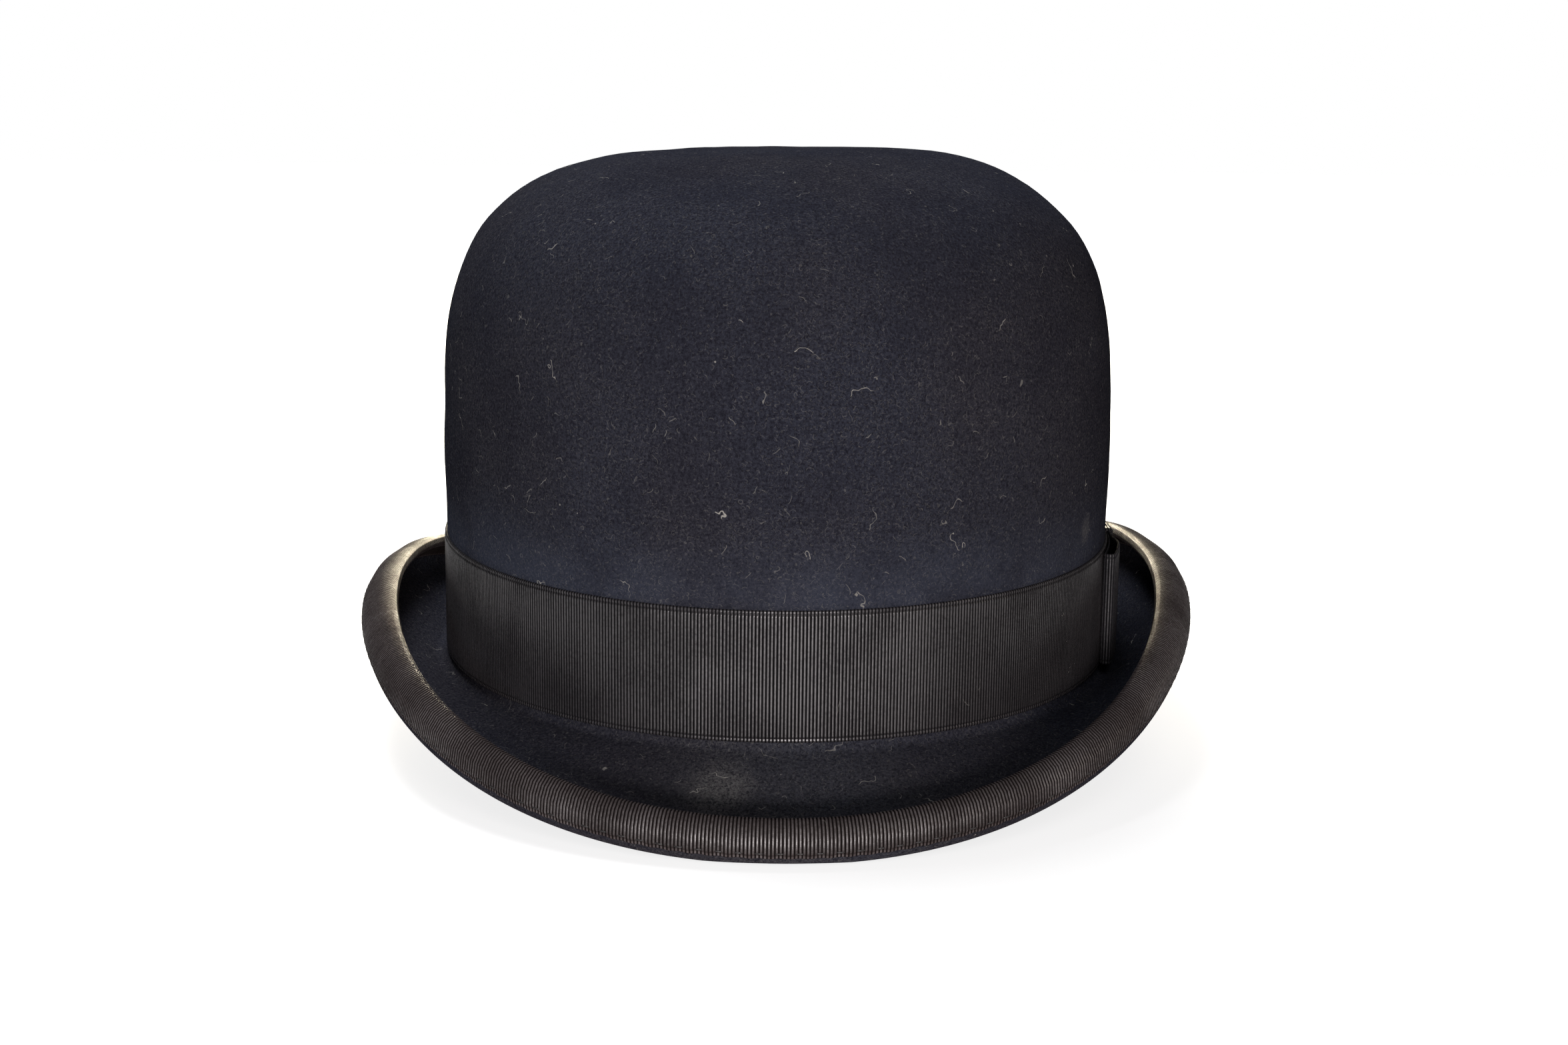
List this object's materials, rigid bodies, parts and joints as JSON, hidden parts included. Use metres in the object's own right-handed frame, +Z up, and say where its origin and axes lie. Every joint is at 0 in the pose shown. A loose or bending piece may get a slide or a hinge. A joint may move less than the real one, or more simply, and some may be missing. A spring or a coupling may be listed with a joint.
{
  "type": "bowler hat",
  "caption": "Hard felt bowler hat with a rounded crown, a curled and ribbon-bound brim, a grosgrain band with a flat side bow, a leather sweatband and a satin lining.",
  "frame": {"origin": "on the table that the brim stands on at front and back, under the middle of the crown", "axes": "+Z up, -Y towards the front of the hat, +X towards the wearer's left, where the bow is"},
  "size_m": [0.215, 0.2756, 0.1438],
  "materials": {
    "felt": "short brushed wool felt, matt with a soft sheen",
    "band_ribbon": "ribbed grosgrain",
    "binding_ribbon": "ribbed grosgrain, folded over the edge",
    "sweat_leather": "smooth tan leather",
    "reed_cord": "woven tape over a thin reed",
    "small_ribbon": "narrow satin ribbon",
    "lining_satin": "satin"
  },
  "bodies": {
    "root": {"felt_body": "felt", "hat_band": "band_ribbon", "bow_front_loop": "band_ribbon", "bow_rear_loop": "band_ribbon", "bow_knot": "band_ribbon", "brim_binding": "binding_ribbon", "sweatband": "sweat_leather", "sweatband_reed": "reed_cord", "sweatband_seam_tape": "lining_satin", "sweatband_bow": "small_ribbon", "lining_side": "lining_satin", "lining_tip": "lining_satin"}
  },
  "joints": []
}
